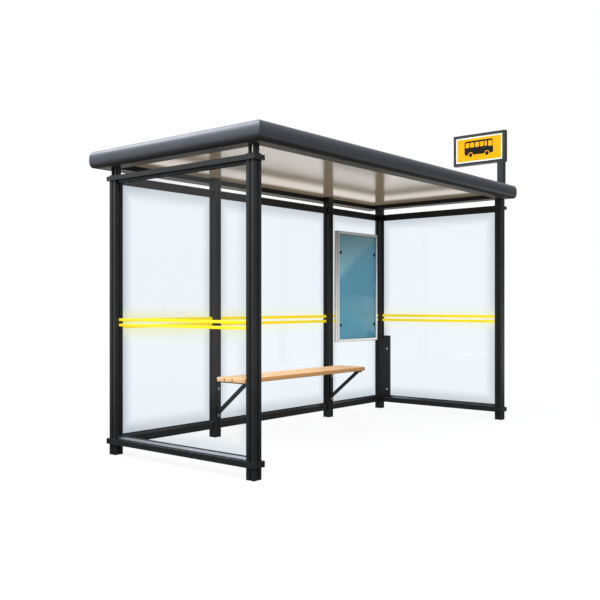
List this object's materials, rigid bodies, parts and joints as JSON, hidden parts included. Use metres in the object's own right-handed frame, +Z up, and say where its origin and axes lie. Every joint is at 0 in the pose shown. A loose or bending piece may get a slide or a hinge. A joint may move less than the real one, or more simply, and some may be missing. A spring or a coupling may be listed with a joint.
{
  "type": "bus shelter",
  "caption": "Open-fronted bus shelter with glazed back and ends, flat overhanging roof, slatted timber bench, timetable case and a route sign above one corner.",
  "frame": {"origin": "On the ground, at the middle of the roof's outline, which is the object's outline on plan.", "axes": "+X runs along the shelter to the right as seen from the open front, +Y goes from the open front to the glazed back, +Z is up."},
  "size_m": [4.13, 1.94, 3.13],
  "materials": {
    "black_powder_coat": "satin black powder coat on aluminium extrusion",
    "roof_edge_grey": "dark grey satin powder coat",
    "bronze_panel": "smooth glossy bronze-tinted panel",
    "clear_glass": "clear toughened glass, faintly blue",
    "oak": "oiled light oak slats",
    "silver_aluminium": "satin silver anodised frame"
  },
  "bodies": {
    "root": {"post_front_left": "black_powder_coat", "post_rear_left": "black_powder_coat", "post_mid_left": "black_powder_coat", "post_mid_right": "black_powder_coat", "post_rear_right": "black_powder_coat", "post_front_right": "black_powder_coat", "roof_bracket_front_left": "black_powder_coat", "roof_bracket_rear_left": "black_powder_coat", "roof_stub_mid_left": "black_powder_coat", "roof_stub_mid_right": "black_powder_coat", "roof_stub_rear_right": "black_powder_coat", "roof_stub_front_right": "black_powder_coat", "clamp_left_lower": "black_powder_coat", "clamp_left_upper": "black_powder_coat", "clamp_right_lower": "black_powder_coat", "clamp_right_upper": "black_powder_coat", "rail_left_lower": "black_powder_coat", "rail_left_upper": "black_powder_coat", "rail_right_lower": "black_powder_coat", "rail_right_upper": "black_powder_coat", "rail_rear_1_lower": "black_powder_coat", "rail_rear_2_lower": "black_powder_coat", "rail_rear_3_lower": "black_powder_coat", "rail_rear_1_upper": "black_powder_coat", "rail_rear_2_upper": "black_powder_coat", "rail_rear_3_upper": "black_powder_coat", "glass_left": "clear_glass", "glass_right": "clear_glass", "glass_rear_1": "clear_glass", "glass_rear_2": "clear_glass", "glass_rear_3": "clear_glass", "roof_edge_front": "roof_edge_grey", "roof_edge_rear": "roof_edge_grey", "roof_edge_left": "roof_edge_grey", "roof_edge_right": "roof_edge_grey", "roof_panel": "bronze_panel", "bench_slat_front": "oak", "bench_slat_middle": "oak", "bench_slat_rear": "oak", "bench_bracket_left": "black_powder_coat", "bench_bracket_right": "black_powder_coat", "timetable_case": "silver_aluminium", "cable_cover": "black_powder_coat", "sign_post": "black_powder_coat", "route_sign": "black_powder_coat"}
  },
  "joints": []
}
